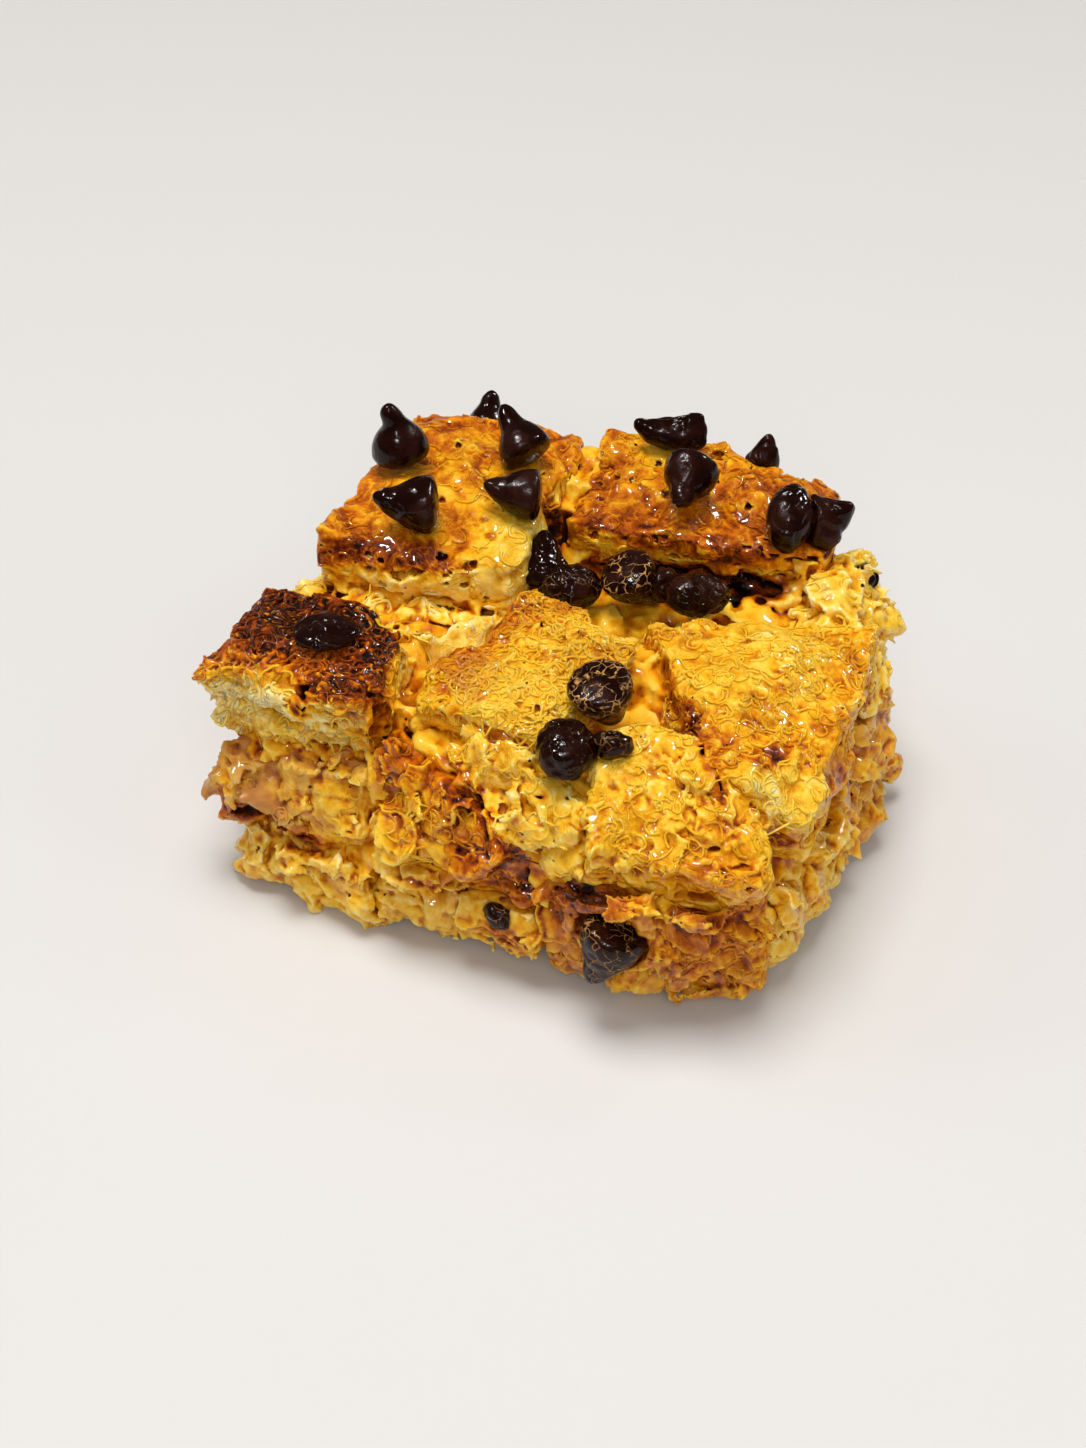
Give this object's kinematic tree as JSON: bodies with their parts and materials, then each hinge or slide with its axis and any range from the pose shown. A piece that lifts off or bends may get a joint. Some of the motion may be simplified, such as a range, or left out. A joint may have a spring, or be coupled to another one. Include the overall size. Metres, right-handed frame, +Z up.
{
  "type": "bread pudding",
  "caption": "Square cut of baked bread pudding: torn bread cubes and toasted slabs set in custard, with chocolate chips on top and pressed into the cut sides.",
  "frame": {"origin": "middle of the bounding box's underside, on the surface that the pudding rests on", "axes": "+Z up, +X to the right along the front cut face, +Y from the front cut face to the back"},
  "size_m": [0.0912, 0.0862, 0.0533],
  "materials": {
    "custard": "moist baked egg custard, saturated yellow, satin to wet",
    "golden_crust": "toasted bread crust, golden to orange-brown, with small wet highlights",
    "dark_crust": "charred bread crust, dark brown, fibrous",
    "bread_crumb": "torn soaked bread crumb, cream to yellow, porous",
    "chocolate": "dark chocolate chips, satin to gloss"
  },
  "bodies": {
    "root": {"custard_block": "custard", "toast_slab_left": "golden_crust", "toast_slab_right": "golden_crust", "wide_slab_right": "golden_crust", "near_corner_cube": "golden_crust", "dark_crust_cube": "dark_crust", "curly_cube": "bread_crumb", "pale_slab_under_toast": "bread_crumb", "leaning_slice": "bread_crumb", "crusted_slice_front": "bread_crumb", "left_front_cube": "bread_crumb", "bottom_slice_left": "bread_crumb", "low_front_wedge": "bread_crumb", "near_corner_crumb": "bread_crumb", "torn_corner_shred": "bread_crumb", "right_cube_low": "bread_crumb", "right_cube_back": "bread_crumb", "right_back_corner": "bread_crumb", "back_cube_right": "bread_crumb", "back_cube_left": "bread_crumb", "left_cube_back": "bread_crumb", "left_cube_low": "bread_crumb", "chip_upright": "chocolate", "chip_back_tilted": "chocolate", "chip_left_lying": "chocolate", "chip_point_left": "chocolate", "chip_slab_heart": "chocolate", "chip_valley_disc": "chocolate", "chip_custard_veil": "chocolate", "chip_near_front": "chocolate", "chip_valley_left": "chocolate", "chip_behind_slab": "chocolate", "chip_back_face": "chocolate", "chip_left_face": "chocolate", "chip_back_low": "chocolate", "chip_flat_dark": "chocolate", "chip_horned": "chocolate", "chip_back_spike": "chocolate", "chip_edge_long": "chocolate", "chip_edge_torn": "chocolate", "chip_valley_dark": "chocolate", "chip_valley_small": "chocolate", "chip_valley_lobed": "chocolate", "chip_pressed_large": "chocolate", "chip_pressed_small": "chocolate", "chip_right_lump": "chocolate", "chip_buried_front": "chocolate"}
  },
  "joints": []
}
